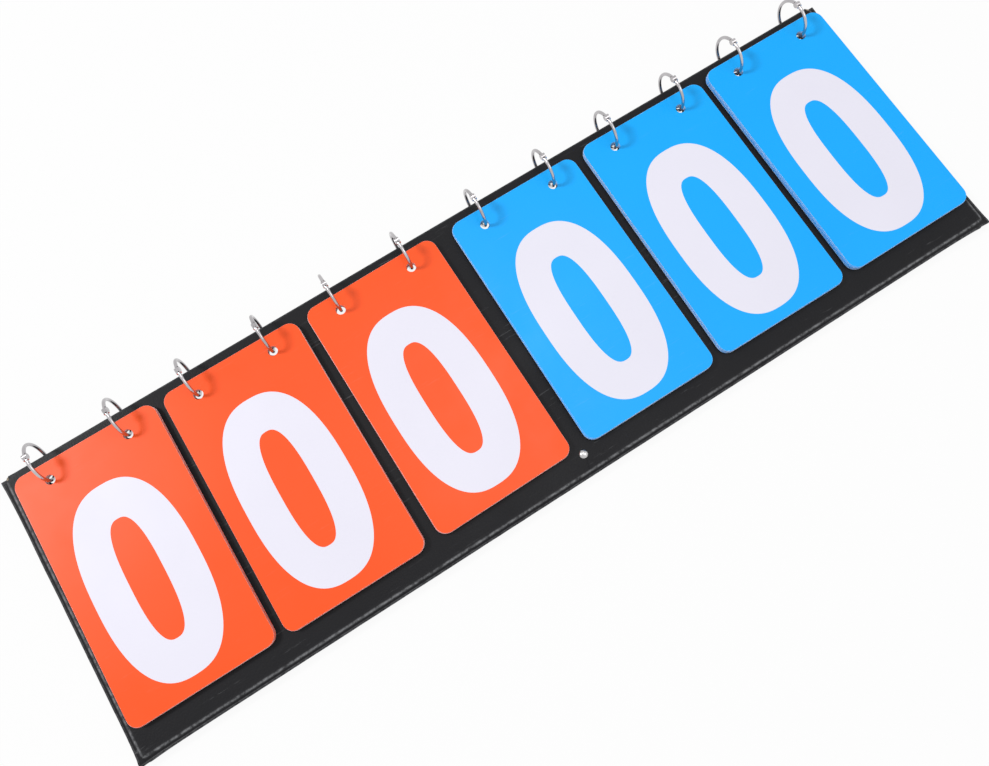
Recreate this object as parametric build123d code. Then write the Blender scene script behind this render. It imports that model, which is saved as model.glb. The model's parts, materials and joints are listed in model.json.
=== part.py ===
from build123d import *
from math import cos, degrees, radians, sin, sqrt
import os

# Tabletop flip scoreboard, lying folded flat with its digits up, in millimetres.
# +X runs along the board, +Y from the foot of the cards to the top edge that they
# turn over, +Z up. The origin is the middle of the stand leg's flat outer face.
# Heights are written from that face. Y is first measured from the line of card tops.

# Front board: a chipboard core in a vinyl sheet, folded over the top edge and
# welded into a flange along the other three edges.
board_left = 7.3           # beside the first deck
board_right = 3.3          # beside the last deck
board_top = 6.6            # from the line of card tops up to the folded top edge
board_bottom = 17.5        # below the decks
core_thickness = 2.0
vinyl_thickness = 0.3
flange_width = 3.2
flange_corner = 5.0
flange_top_corner = 1.5
flange_draw_in = 0.9       # the welded edges pull in between the corners
pillow_corner = 2.5        # plan corner of the covered core
core_slack = 0.1           # round the edges of a core, inside its cover

# Stand leg: a second covered board behind the first, hung on a folded vinyl strip.
leg_end_inset = 3.0        # from the front board's ends
leg_ring_clearance = 6.0   # from the rings' path to the fold of the hinge strip
leg_gap = 1.6              # between the two boards when they are folded flat
leg_opening = 45.0         # degrees
strip_end_inset = 14.0     # from the leg's ends
strip_width = 18.0
strip_thickness = 0.5
strip_inset = 1.0          # from the fold of the strip to the leg's top edge
strip_end_play = 5.0       # degrees left free where the fold meets the leg's ply

# Digit leaves, ten to a deck, three decks to a team.
leaf_width = 87.4
leaf_height = 153.6
leaf_thickness = 0.3
leaf_corner = 6.5
leaf_hole = 6.0
leaf_hole_inset = 10.2     # from the top of the leaf to the hole's centre
leaf_hole_spacing = 48.6
leaf_gap = 0.08            # between two leaves, and a little more under the deck
deck_gap = 0.1
deck_leaves = 10
loose_leaves = 3           # leaves at the top of each deck that turn one by one
team_gap = 6.5             # between two decks of a team
middle_gap = 13.0          # between the teams
team_pitch = leaf_width + team_gap
middle_pitch = leaf_width + middle_gap
# How far each deck hangs off the even pitch, along X and Y, and its turn in degrees.
deck_drift = [(0.5, 0.4, -0.34), (-0.4, -0.8, -0.28), (-0.1, -0.2, 0.52),
              (-0.5, -0.5, -0.16), (0.3, 0.0, -0.46), (0.1, 1.0, -0.25)]
deck_names = ["orange_hundreds", "orange_tens", "orange_units",
              "blue_hundreds", "blue_tens", "blue_units"]

# Hinged binder rings, two to a deck.
ring_radius = 11.8         # to the middle of the wire
wire_diameter = 2.0
ring_floor_gap = 0.2       # under the lowest point of a ring
ring_hole = 6.8            # through the front board
knuckle_angle = 100.0      # round the ring from the front, over the top
knuckle_radius = 1.6
knuckle_neck = 1.5         # height of the flat that joins the knuckle to the wire
knuckle_pin = 1.0          # diameter
lug_thickness = 1.1
cheek_thickness = 0.85
knuckle_play = 0.05        # beside the lug and round the pin
knuckle_relief = 0.35      # from the knuckle to the round wire
clasp_gap = 0.15
clasp_nib = 0.9            # diameter
clasp_nib_length = 0.8
clasp_socket_play = 0.15   # round the nib

# Snap fastener that holds the leg shut, at the foot between the teams.
snap_from_foot = 14.0
snap_x = 1.4
cap_diameter = 5.0
cap_height = 1.1
shank_diameter = 2.0
shank_play = 0.05
socket_diameter = 8.0
socket_thickness = 1.0
stud_diameter = 3.4
stud_play = 0.3            # round the stud
stud_plate = 0.35
stud_top_gap = 0.15        # above the stud, under the shank's rolled end

# Levels.
panel_thickness = core_thickness + 2 * vinyl_thickness
front_low = panel_thickness + leg_gap
front_high = front_low + panel_thickness
deck_low = front_high + deck_gap
leaf_pitch = leaf_thickness + leaf_gap
deck_high = deck_low + deck_leaves * leaf_pitch - leaf_gap
wire_radius = wire_diameter / 2
ring_z = ring_radius + wire_radius + ring_floor_gap


def on_ring(height):
    """How far in front of a ring's centre its wire crosses a level."""
    return sqrt(ring_radius**2 - (ring_z - height) ** 2)


ring_y = on_ring((deck_low + deck_high) / 2) - leaf_hole_inset
ring_hole_y = ring_y - on_ring((front_low + front_high) / 2)

# Places along Y, from the line of card tops, and the lengths of the boards.
decks_length = (len(deck_names) - 2) * team_pitch + middle_pitch + leaf_width
board_length = decks_length + board_left + board_right
decks_right_of_middle = (board_left - board_right) / 2
board_foot = -leaf_height - board_bottom
leg_length = board_length - 2 * leg_end_inset
ring_reach = sqrt((ring_radius + wire_radius) ** 2 - (ring_z - front_low) ** 2)
strip_axis_y = ring_y - ring_reach - leg_ring_clearance - leg_gap / 2
strip_axis_z = panel_thickness + leg_gap / 2
strip_length = leg_length - 2 * strip_end_inset
leg_top = strip_axis_y - strip_inset
leg_middle = (board_foot + leg_top) / 2
snap_y = board_foot + snap_from_foot


def deck_place(deck):
    """Where the middle of a deck's top edge lies, and how the deck is turned."""
    half = len(deck_names) // 2
    steps = deck - half + 0.5
    side = 1 if steps > 0 else -1
    even = side * (middle_pitch / 2 + (abs(steps) - 0.5) * team_pitch)
    drift_x, drift_y, turn = deck_drift[deck]
    return Pos(even + decks_right_of_middle + drift_x, drift_y) * Rot(0, 0, turn)


def deck_pair(deck, y, z=0.0):
    """The two places of a deck's holes or rings, left and right, at a Y and a height."""
    return [deck_place(deck) * Pos(side * leaf_hole_spacing / 2, y, z) for side in (-1, 1)]


def nosed_board(width, foot, top, low, thickness, corner, nose):
    """A board with round plan corners, its long top edge rounded like a fold."""
    board = Pos(0, (foot + top) / 2, low) * extrude(
        RectangleRounded(width, top - foot, corner), thickness)
    return fillet(board.edges().filter_by(Axis.X).group_by(Axis.Y)[-1], nose)


def flange_outline(length, foot, top):
    """The welded edge: straight along the fold, drawn in on the other three sides."""
    half, middle = length / 2, (foot + top) / 2
    inner = half - flange_draw_in
    with BuildSketch() as outline:
        with BuildLine():
            Line((-half, top), (half, top))
            ThreePointArc((half, top), (inner, middle), (half, foot))
            ThreePointArc((half, foot), (0, foot + flange_draw_in), (-half, foot))
            ThreePointArc((-half, foot), (-inner, middle), (-half, top))
        make_face()
        corners = outline.vertices().sort_by(Axis.Y)
        fillet(corners[:2], flange_corner)
        fillet(outline.vertices().group_by(Axis.Y)[-1], flange_top_corner)
    return outline.sketch


def covered_board(length, foot, top, low):
    """The chipboard core and the vinyl cover of one board, without its holes."""
    pillow_width = length - 2 * flange_width
    pillow_foot = foot + flange_width
    pillow = nosed_board(pillow_width, pillow_foot, top, low, panel_thickness,
                         pillow_corner, panel_thickness / 2 - vinyl_thickness / 2)
    flange = Pos(0, 0, low + panel_thickness / 2 - vinyl_thickness) * extrude(
        flange_outline(length, foot, top - panel_thickness / 2), 2 * vinyl_thickness)
    core_low = low + vinyl_thickness
    nose = core_thickness / 2 - core_slack
    boards = []
    for inset in (vinyl_thickness + core_slack, vinyl_thickness):
        boards.append(nosed_board(pillow_width - 2 * inset, pillow_foot + inset, top - inset,
                                  core_low, core_thickness, pillow_corner - inset, nose))
    core, pocket = boards
    return core, pillow + flange - pocket


def upright(x, y, low, high, diameter):
    """A round pin or hole that stands upright."""
    return Pos(x, y, (low + high) / 2) * Cylinder(diameter / 2, high - low)


def front_board():
    """Core and cover with the ring holes and the snap's hole through both."""
    core, cover = covered_board(board_length, board_foot, board_top, front_low)
    low, high = front_low - leg_gap / 2, front_high + deck_gap / 2
    holes = [place * upright(0, 0, low, high, ring_hole)
             for deck in range(len(deck_names)) for place in deck_pair(deck, ring_hole_y)]
    holes.append(upright(snap_x, snap_y, low, high, shank_diameter + 2 * shank_play))
    return core - holes, cover - holes


def stand_leg():
    """Core and cover, with a seat for the snap's stud through the inner vinyl."""
    core, cover = covered_board(leg_length, board_foot, leg_top, 0)
    seat = upright(snap_x, snap_y, vinyl_thickness, front_low, shank_diameter + 2 * shank_play)
    return core - seat, cover - seat


def strip_plies():
    """The folded hinge strip: the front board's ply with the fold, and the leg's ply."""
    y, z, fold = strip_axis_y, strip_axis_z, leg_gap / 2
    ply = Box(strip_length, strip_width, strip_thickness)
    inner = fold - strip_thickness
    front = Pos(0, y - strip_width / 2, z + fold - strip_thickness / 2) * ply
    leg = Pos(0, y - strip_width / 2, z - fold + strip_thickness / 2) * ply
    end = 90 - leg_opening - strip_end_play
    section = Plane.YZ * (Circle(fold) - Circle(inner))
    wedge = Plane.YZ * make_face(Polyline((0, 0), (0, 2 * fold), (2 * fold, 2 * fold),
                                          (2 * fold, -2 * fold * sin(radians(end))),
                                          (2 * fold * cos(radians(end)), -2 * fold * sin(radians(end))),
                                          (0, 0)))
    bend = Pos(-strip_length / 2, y, z) * extrude(section & wedge, strip_length)
    return front + bend, leg


def snap():
    """Domed cap with its shank, the socket behind it, and the stud on the leg."""
    radius = cap_diameter / 2
    dome = (radius**2 + cap_height**2) / (2 * cap_height)
    head = Pos(snap_x, snap_y, front_high + cap_height - dome) * Sphere(dome)
    head &= upright(snap_x, snap_y, front_high, front_high + cap_height, 2 * cap_diameter)
    stud_high = front_low - stud_top_gap
    cap = head + upright(snap_x, snap_y, front_low, front_high, shank_diameter)
    ring = upright(snap_x, snap_y, front_low - socket_thickness, front_low, socket_diameter)
    socket = ring - upright(snap_x, snap_y, front_low - 2 * socket_thickness, front_low + socket_thickness,
                            stud_diameter + 2 * stud_play)
    lip = socket.edges().filter_by(GeomType.CIRCLE).group_by(Axis.Z)[0].sort_by(SortBy.RADIUS)[-1]
    socket = fillet(lip, socket_thickness / 3)
    stud = upright(snap_x, snap_y, panel_thickness, panel_thickness + stud_plate, socket_diameter)
    knob = upright(snap_x, snap_y, panel_thickness, stud_high, stud_diameter)
    knob = fillet(knob.edges().group_by(Axis.Z)[-1], stud_top_gap * 2)
    stud += knob + upright(snap_x, snap_y, vinyl_thickness, panel_thickness, shank_diameter)
    return cap, socket, stud


def ring_point(angle, radius=ring_radius):
    """A point of a ring, round its centre from the front, over the top."""
    return Vector(0, -radius * cos(radians(angle)), radius * sin(radians(angle)))


def wire_arc(start, sweep):
    """The ring's wire from one angle on, round the ring's centre."""
    along = Vector(0, sin(radians(start)), cos(radians(start)))
    section = Plane(origin=ring_point(start), x_dir=(1, 0, 0), z_dir=along) * Circle(wire_radius)
    return revolve(section, Axis((0, 0, 0), (-1, 0, 0)), revolution_arc=sweep)


def knuckle_flat(side, width, middle=0.0):
    """An eye round the knuckle and its flat neck, back to (-1) or on to (1) the wire."""
    angle = radians(knuckle_angle)
    neck = knuckle_radius + 2 * knuckle_relief
    plane = Plane(origin=ring_point(knuckle_angle) + Vector(middle - width / 2, 0, 0),
                  x_dir=(0, sin(angle), cos(angle)), z_dir=(1, 0, 0))
    eye = Circle(knuckle_radius) + Pos(side * neck / 2, 0) * Rectangle(neck, knuckle_neck)
    return extrude(plane * eye, width)


def knuckle_bore(diameter, width):
    """The pin of the knuckle, or the hole round it."""
    return Pos(*ring_point(knuckle_angle)) * Rot(0, 90, 0) * Cylinder(diameter / 2, width)


def clasp_pin(diameter, length):
    """A short pin along the wire, over the joint of the clasp."""
    angle = knuckle_angle - 180
    along = Vector(0, sin(radians(angle)), cos(radians(angle)))
    base = Plane(origin=ring_point(angle), x_dir=(1, 0, 0), z_dir=along * -1)
    return extrude(base * Circle(diameter / 2), length)


def ring_halves():
    """The half that stays in the leaves and the gate, round the ring's centre."""
    gap = degrees(clasp_gap / ring_radius)
    end = degrees((knuckle_radius + knuckle_relief) / ring_radius)
    slot = lug_thickness + 2 * knuckle_play
    cheek = (slot + cheek_thickness) / 2
    outside = slot + 2 * cheek_thickness
    fixed = wire_arc(knuckle_angle - 180, 180 - end)
    fixed += [knuckle_flat(-1, cheek_thickness, x) for x in (-cheek, cheek)]
    fixed += knuckle_bore(knuckle_pin, outside)
    fixed += clasp_pin(clasp_nib, clasp_nib_length)
    gate = wire_arc(knuckle_angle + end, 180 - end - gap) + knuckle_flat(1, lug_thickness)
    gate -= knuckle_bore(knuckle_pin + 2 * knuckle_play, outside)
    gate -= clasp_pin(clasp_nib + 2 * clasp_socket_play, clasp_nib_length + clasp_gap)
    return fixed, gate


def leaf(deck, number):
    """One leaf of a deck; number 0 lies on top."""
    blank = RectangleRounded(leaf_width, leaf_height, leaf_corner)
    punch = Pos(0, leaf_height / 2 - leaf_hole_inset) * GridLocations(leaf_hole_spacing, 0, 2, 1)
    blank -= [place * Circle(leaf_hole / 2) for place in punch]
    low = deck_high - leaf_thickness - number * leaf_pitch
    return deck_place(deck) * Pos(0, -leaf_height / 2, low) * extrude(blank, leaf_thickness)


os.makedirs("parts", exist_ok=True)


def write(name, *solids):
    """One STEP file for a node, moved to the part's origin."""
    moved = [Pos(0, -leg_middle, 0) * solid for solid in solids]
    export_step(moved[0] if len(moved) == 1 else Compound(children=moved), f"parts/{name}.step")


front_core, front_cover = front_board()
leg_core, leg_cover = stand_leg()
strip_front, strip_leg = strip_plies()
snap_cap, snap_socket, snap_stud = snap()
write("front_core", front_core)
write("front_cover", front_cover)
write("leg_core", leg_core)
write("leg_cover", leg_cover)
write("hinge_strip_front", strip_front)
write("hinge_strip_leg", strip_leg)
write("snap_cap", snap_cap)
write("snap_socket", snap_socket)
write("snap_stud", snap_stud)

fixed_half, gate_half = ring_halves()
for deck, name in enumerate(deck_names):
    left, right = deck_pair(deck, ring_y, ring_z)
    write(f"{name}_rings", left * fixed_half, right * fixed_half)
    write(f"{name}_gate_left", left * gate_half)
    write(f"{name}_gate_right", right * gate_half)
    for number in range(loose_leaves):
        write(f"{name}_leaf_{number}", leaf(deck, number))
    write(f"{name}_lower_leaves", *[leaf(deck, number) for number in range(loose_leaves, deck_leaves)])
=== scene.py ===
import bmesh
import bpy
import json
import math
import random
import numpy as np
from mathutils import Matrix, Vector, noise
from mathutils.geometry import delaunay_2d_cdt, tessellate_polygon


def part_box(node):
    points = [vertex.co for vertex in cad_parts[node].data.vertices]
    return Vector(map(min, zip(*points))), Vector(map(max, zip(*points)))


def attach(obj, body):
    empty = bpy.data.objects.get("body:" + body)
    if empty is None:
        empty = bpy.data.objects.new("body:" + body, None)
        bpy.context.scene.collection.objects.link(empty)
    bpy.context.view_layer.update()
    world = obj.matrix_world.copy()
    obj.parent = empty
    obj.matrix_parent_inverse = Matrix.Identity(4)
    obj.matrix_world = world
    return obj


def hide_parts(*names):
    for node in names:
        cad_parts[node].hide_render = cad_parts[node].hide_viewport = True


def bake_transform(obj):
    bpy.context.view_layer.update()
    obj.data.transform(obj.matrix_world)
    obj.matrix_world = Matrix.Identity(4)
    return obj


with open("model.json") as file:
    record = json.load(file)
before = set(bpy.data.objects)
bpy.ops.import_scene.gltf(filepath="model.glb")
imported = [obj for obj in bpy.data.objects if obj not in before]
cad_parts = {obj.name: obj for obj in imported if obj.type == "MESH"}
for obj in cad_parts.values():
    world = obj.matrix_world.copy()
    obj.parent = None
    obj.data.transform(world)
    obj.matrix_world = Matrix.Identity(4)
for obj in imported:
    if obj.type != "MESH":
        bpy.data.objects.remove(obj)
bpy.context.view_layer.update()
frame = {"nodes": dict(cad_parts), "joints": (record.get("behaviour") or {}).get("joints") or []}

MM = 0.001
TEAMS = ("orange", "blue")
COLUMNS = ("hundreds", "tens", "units")
DECKS = [f"{team}_{column}" for team in TEAMS for column in COLUMNS]

# Sizes that the CAD boxes don't give, in millimetres.
FLANGE_WIDTH = 3.2
FLANGE_DRAW_IN = 0.9       # how far a welded edge bows inward between its corners
FLANGE_CORNER = 2.4
WELDED_THICKNESS = 0.6
VINYL_THICKNESS = 0.3
PILLOW_CORNER = 2.5        # the corners of the covered board
RING_HOLE = 6.8
RING_TO_HOLE = 9.11        # from a ring's centre forward to its hole in the board
RING_TO_CARD_TOP = 0.812   # from a ring's centre forward to the top edge of the leaves
RING_SPACING = 48.6
LEAF_WIDTH = 87.4
LEAF_HEIGHT = 153.6
LEAF_THICKNESS = 0.3
LEAF_PITCH = 0.38          # from one leaf's face to the next one's
LEAF_CORNER = 6.5
LEAF_BEVEL = 0.06
LEAF_HOLE = 6.0
LEAF_HOLE_INSET = 10.2
MERGE_DISTANCE = 0.0005    # points nearer than this are one point

LOOSE_LEAVES = 3           # leaves of a deck that turn one by one
DECK_LEAVES = 10
HOLE_STEPS = 28
CORNER_STEPS = 7


# ---------------------------------------------------------------- shader nodes

def srgb(red, green, blue):
    """A screen colour, 0 to 255 a channel, as the linear colour that renders so."""
    linear = []
    for level in (red, green, blue):
        share = level / 255
        linear.append(share / 12.92 if share <= 0.04045 else ((share + 0.055) / 1.055) ** 2.4)
    return (*linear, 1.0)


def toned(colour, share, lift=0.0):
    """A colour darkened to a share of itself, and lifted toward white where asked."""
    return (*(share * channel + lift for channel in colour[:3]), 1.0)


class Nodes:
    """Short calls that add nodes to a shader or a shader group."""

    def __init__(self, tree):
        self.tree = tree
        self.column = 0

    def add(self, kind, inputs=None, **settings):
        node = self.tree.nodes.new(kind)
        node.location = (180 * self.column, -40 * (self.column % 5))
        self.column += 1
        for name, value in settings.items():
            setattr(node, name, value)
        for name, value in (inputs or {}).items():
            self.put(node, name, value)
        return node

    def put(self, node, name, value):
        socket = node.inputs[name]
        if isinstance(value, bpy.types.NodeSocket):
            self.tree.links.new(value, socket)
        else:
            socket.default_value = value

    def maths(self, operation, first, second=0.0, clamp=False):
        node = self.add("ShaderNodeMath", {0: first, 1: second}, operation=operation, use_clamp=clamp)
        return node.outputs[0]

    def blend(self, share, first, second):
        """A colour between two others."""
        node = self.add("ShaderNodeMix", data_type="RGBA")
        self.put(node, 0, share)
        self.put(node, 6, first)
        self.put(node, 7, second)
        return node.outputs[2]

    def span(self, value, low, high, to_low=0.0, to_high=1.0):
        """A value carried from one range to another and held inside it."""
        node = self.add("ShaderNodeMapRange", {0: value, 1: low, 2: high, 3: to_low, 4: to_high})
        return node.outputs[0]

    def place(self):
        """The point on the object, in its own coordinates."""
        return self.add("ShaderNodeTexCoord").outputs["Object"]

    def noise(self, place, per_mm, detail, roughness=0.5):
        """Noise with so many patches to a millimetre of the object."""
        node = self.add("ShaderNodeTexNoise", {"Vector": place, "Scale": per_mm / MM,
                                               "Detail": detail, "Roughness": roughness})
        return node.outputs[0]


def group(name, inputs, outputs):
    """An empty shader group with named float inputs and outputs."""
    tree = bpy.data.node_groups.new(name, "ShaderNodeTree")
    for label, value in inputs.items():
        socket = tree.interface.new_socket(label, in_out="INPUT", socket_type="NodeSocketFloat")
        socket.default_value = value
    for label in outputs:
        tree.interface.new_socket(label, in_out="OUTPUT", socket_type="NodeSocketFloat")
    nodes = Nodes(tree)
    return tree, nodes, nodes.add("NodeGroupInput"), nodes.add("NodeGroupOutput")


def grain_group():
    """Embossed grain: small rounded cells under a finer noise. Size in millimetres."""
    tree, nodes, given, result = group("embossed_grain", {"Cell Size": 0.9, "Fine Share": 0.35},
                                       ("Height",))
    place = nodes.place()
    per_metre = nodes.maths("DIVIDE", 1 / MM, given.outputs["Cell Size"])
    cells = nodes.add("ShaderNodeTexVoronoi", {"Vector": place, "Scale": per_metre}, feature="SMOOTH_F1")
    fine = nodes.add("ShaderNodeTexNoise", {"Vector": place, "Detail": 2.0,
                                            "Scale": nodes.maths("MULTIPLY", per_metre, 1.7)})
    rounded = nodes.span(cells.outputs["Distance"], 0.15, 0.75, 1.0, 0.0)
    share = nodes.maths("MULTIPLY", fine.outputs[0], given.outputs["Fine Share"])
    nodes.put(result, "Height", nodes.maths("ADD", rounded, share))
    return tree


def patches_group():
    """Broad soft patches between two values. Size in millimetres."""
    tree, nodes, given, result = group("broad_patches", {"Patch Size": 40.0, "Low": 0.0, "High": 1.0},
                                       ("Value",))
    place = nodes.place()
    per_metre = nodes.maths("DIVIDE", 1 / MM, given.outputs["Patch Size"])
    patches = nodes.add("ShaderNodeTexNoise", {"Vector": place, "Scale": per_metre, "Detail": 2.0})
    value = nodes.add("ShaderNodeMapRange", {0: patches.outputs[0], 1: 0.3, 2: 0.7})
    nodes.put(value, 3, given.outputs["Low"])
    nodes.put(value, 4, given.outputs["High"])
    nodes.put(result, "Value", value.outputs[0])
    return tree


def scuffs_group():
    """Fine marks of handling: thin streaks that come and go."""
    tree, nodes, given, result = group("handling_scuffs", {"Streak Size": 3.0, "Amount": 0.5}, ("Mask",))
    place = nodes.place()
    per_metre = nodes.maths("DIVIDE", 1 / MM, given.outputs["Streak Size"])
    masks = []
    for turn in (0.5, 1.9):
        drawn = nodes.add("ShaderNodeMapping", {"Vector": place, "Rotation": (0, 0, turn),
                                                "Scale": (0.12, 1.6, 1.0)})
        streak = nodes.add("ShaderNodeTexNoise", {"Vector": drawn.outputs[0], "Scale": per_metre,
                                                  "Detail": 5.0, "Roughness": 0.7})
        masks.append(nodes.span(streak.outputs[0], 0.62, 0.72))
    where = nodes.add("ShaderNodeTexNoise", {"Vector": place, "Scale": 1 / (30 * MM), "Detail": 1.0})
    both = nodes.maths("MAXIMUM", masks[0], masks[1])
    shown = nodes.maths("MULTIPLY", both, nodes.span(where.outputs[0], 0.45, 0.6))
    nodes.put(result, "Mask", nodes.maths("MULTIPLY", shown, given.outputs["Amount"], clamp=True))
    return tree


GRAIN = grain_group()
PATCHES = patches_group()
SCUFFS = scuffs_group()


def material(name, settings):
    """A new material, its nodes and its Principled shader with plain settings."""
    made = bpy.data.materials.new(name)
    made.use_nodes = True
    nodes = Nodes(made.node_tree)
    shader = made.node_tree.nodes["Principled BSDF"]
    for label, value in settings.items():
        nodes.put(shader, label, value)
    return made, nodes, shader


def placed(nodes, tree, **values):
    """A shared group in a material, with its own values."""
    node = nodes.add("ShaderNodeGroup", node_tree=tree)
    for label, value in values.items():
        node.inputs[label.replace("_", " ").title()].default_value = value
    return node


def bump(nodes, shader, height, distance, strength, normal=None):
    """Raises the surface by a height map, the distance in millimetres."""
    node = nodes.add("ShaderNodeBump", {"Height": height, "Distance": distance * MM,
                                        "Strength": strength})
    if normal is not None:
        nodes.put(node, "Normal", normal)
    nodes.put(shader, "Normal", node.outputs[0])
    return node.outputs[0]


def vinyl(name, colour, pale, grain_size):
    """Embossed vinyl, with pale bends where the piece marks them: a painted highlight, with some wear."""
    made, nodes, shader = material(name, {"Specular IOR Level": 0.15})
    grain = placed(nodes, GRAIN, cell_size=grain_size)
    patches = placed(nodes, PATCHES, patch_size=45.0, low=0.4, high=0.54)
    shades = placed(nodes, PATCHES, patch_size=18.0, low=0.0, high=0.35)
    scuffs = placed(nodes, SCUFFS, streak_size=4.0, amount=0.25)
    # The bend attribute turns the colour pale: a painted highlight with some wear along the bends, the cut
    # edges and the weld line.
    bend = nodes.add("ShaderNodeAttribute", attribute_name="bend").outputs["Fac"]
    place = nodes.place()
    broken = nodes.span(nodes.noise(place, 0.35, 5.0, 0.7), 0.38, 0.62, 0.15, 1.0)
    broken_highlight_and_wear = nodes.maths("MULTIPLY", bend, broken)
    base = nodes.blend(shades.outputs[0], colour, toned(colour, 0.72))
    # The painted highlight and wear join the real handling scuffs, pulling the colour toward the pale
    # grey.
    highlight_wear_and_scuffs = nodes.maths("MAXIMUM", nodes.maths("MULTIPLY", broken_highlight_and_wear, 0.75), scuffs.outputs[0])
    nodes.put(shader, "Base Color", nodes.blend(highlight_wear_and_scuffs, base, pale))
    nodes.put(shader, "Roughness", nodes.maths("ADD", patches.outputs[0],
                                               nodes.maths("MULTIPLY", broken_highlight_and_wear, 0.1)))
    bump(nodes, shader, grain.outputs["Height"], 0.05, 0.8)
    return made


def chipboard(name):
    """Grey-brown chipboard, seen at the edges of the punched holes."""
    made, nodes, shader = material(name, {"Roughness": 0.9})
    place = nodes.place()
    layers = nodes.add("ShaderNodeMapping", {"Vector": place, "Scale": (1.0, 1.0, 6.0)})
    fibres = nodes.noise(layers.outputs[0], 0.7, 5.0, 0.7)
    patches = placed(nodes, PATCHES, patch_size=3.0, low=0.25, high=0.75)
    flecks = nodes.maths("MULTIPLY", fibres, patches.outputs[0])
    nodes.put(shader, "Base Color", nodes.blend(flecks, srgb(150, 138, 120), srgb(98, 88, 74)))
    bump(nodes, shader, fibres, 0.08, 0.6)
    return made


def satin(name, colour, duller, mark, shine, tone_size, tone_share, gloss_size, gloss, streak_size, marks):
    """Smooth plastic or print: broad patches of tone and gloss under faint marks of handling."""
    made, nodes, shader = material(name, {"Specular IOR Level": shine})
    tones = placed(nodes, PATCHES, patch_size=tone_size, low=0.0, high=tone_share)
    rough = placed(nodes, PATCHES, patch_size=gloss_size, low=gloss[0], high=gloss[1])
    scuffs = placed(nodes, SCUFFS, streak_size=streak_size, amount=marks)
    base = nodes.blend(tones.outputs[0], colour, duller)
    nodes.put(shader, "Base Color", nodes.blend(scuffs.outputs[0], base, mark))
    nodes.put(shader, "Roughness", rough.outputs[0])
    return made, nodes, shader


def leaf_face(name, colour, deep):
    """Printed plastic leaf: an even satin colour with a faint ripple in its gloss."""
    made, nodes, shader = satin(name, colour, deep, toned(colour, 0.6, 0.35), shine=0.3,
                                tone_size=70.0, tone_share=0.3, gloss_size=25.0, gloss=(0.36, 0.44),
                                streak_size=2.5, marks=0.07)
    place = nodes.place()
    waved = bump(nodes, shader, nodes.noise(place, 0.012, 1.0), 1.2, 0.5)
    bump(nodes, shader, nodes.noise(place, 1.6, 2.0), 0.012, 0.4, waved)
    return made


def digit_print(name, colour):
    """Opaque white print, a little duller than the leaf round it."""
    made, nodes, shader = satin(name, colour, toned(colour, 0.95), srgb(190, 190, 200), shine=0.4,
                                tone_size=60.0, tone_share=0.5, gloss_size=20.0, gloss=(0.46, 0.55),
                                streak_size=2.0, marks=0.05)
    bump(nodes, shader, nodes.noise(nodes.place(), 2.2, 3.0), 0.012, 0.4)
    return made


def leaf_core_and_rim_highlight(name, colour):
    """The pale unprinted plastic of a leaf, on its back and its cut edges; on the bevel round its printed
    face it is a painted highlight.
    """
    made, nodes, shader = satin(name, colour, toned(colour, 0.93), srgb(150, 150, 155), shine=0.4,
                                tone_size=50.0, tone_share=0.6, gloss_size=20.0, gloss=(0.42, 0.52),
                                streak_size=3.0, marks=0.12)
    bump(nodes, shader, nodes.noise(nodes.place(), 1.6, 2.0), 0.012, 0.4)
    return made


def bright_metal(name, colour, low_rough, high_rough):
    """Plated steel wire or a plated cap, with faint drawing marks, and dark patches in its colour that are
    painted reflections.
    """
    made, nodes, shader = material(name, {"Metallic": 1.0})
    smear = placed(nodes, PATCHES, patch_size=6.0, low=low_rough, high=high_rough)
    tones = placed(nodes, PATCHES, patch_size=9.0, low=0.0, high=0.5)
    # Painted reflection: random patches darken the plating's colour, standing in for the dark surroundings
    # it mirrors.
    nodes.put(shader, "Base Color", nodes.blend(tones.outputs[0], colour, toned(colour, 0.5)))
    nodes.put(shader, "Roughness", smear.outputs[0])
    bump(nodes, shader, nodes.noise(nodes.place(), 2.5, 4.0, 0.6), 0.02, 0.35)
    return made


VINYL_BLACK = srgb(20, 20, 23)
# Pale grey for the painted highlight along the covers' bends and edges, and for their wear and scuffs.
VINYL_HIGHLIGHT_AND_WEAR = srgb(150, 151, 154)
COVER_VINYL = vinyl("black_cover_vinyl", VINYL_BLACK, VINYL_HIGHLIGHT_AND_WEAR, 0.9)
STRIP_VINYL = vinyl("black_hinge_vinyl", srgb(30, 30, 33), VINYL_HIGHLIGHT_AND_WEAR, 0.6)
CORE_BOARD = chipboard("chipboard_core")
LEAF_FACE = {"orange": leaf_face("orange_leaf_print", srgb(253, 86, 24), srgb(251, 76, 14)),
             "blue": leaf_face("blue_leaf_print", srgb(4, 172, 255), srgb(0, 162, 250))}
DIGIT_PRINT = digit_print("white_digit_print", srgb(232, 230, 243))
LEAF_CORE_AND_RIM_HIGHLIGHT = leaf_core_and_rim_highlight("pale_leaf_plastic_and_rim_highlight", srgb(226, 226, 230))
RING_METAL = bright_metal("plated_ring_wire", srgb(196, 193, 195), 0.08, 0.16)
SNAP_METAL = bright_metal("plated_snap", srgb(205, 204, 204), 0.14, 0.28)


# ---------------------------------------------------------------- mesh helpers

def smoothstep(value):
    """A soft step: 0 up to 0, 1 from 1 on."""
    value = min(max(value, 0.0), 1.0)
    return value * value * (3 - 2 * value)


def hump(value, middle, spread):
    """A soft rise to 1 round a middle value."""
    return math.exp(-((value - middle) / spread) ** 2)


def piece(name, mesh, materials, smooth_angle):
    """A finished mesh as an object at the origin, its sharp edges kept."""
    obj = bpy.data.objects.new(name, mesh)
    bpy.context.scene.collection.objects.link(obj)
    for made in materials:
        mesh.materials.append(made)
    for face in mesh.polygons:
        face.use_smooth = True
    mesh.set_sharp_from_angle(angle=math.radians(smooth_angle))
    return obj


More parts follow.
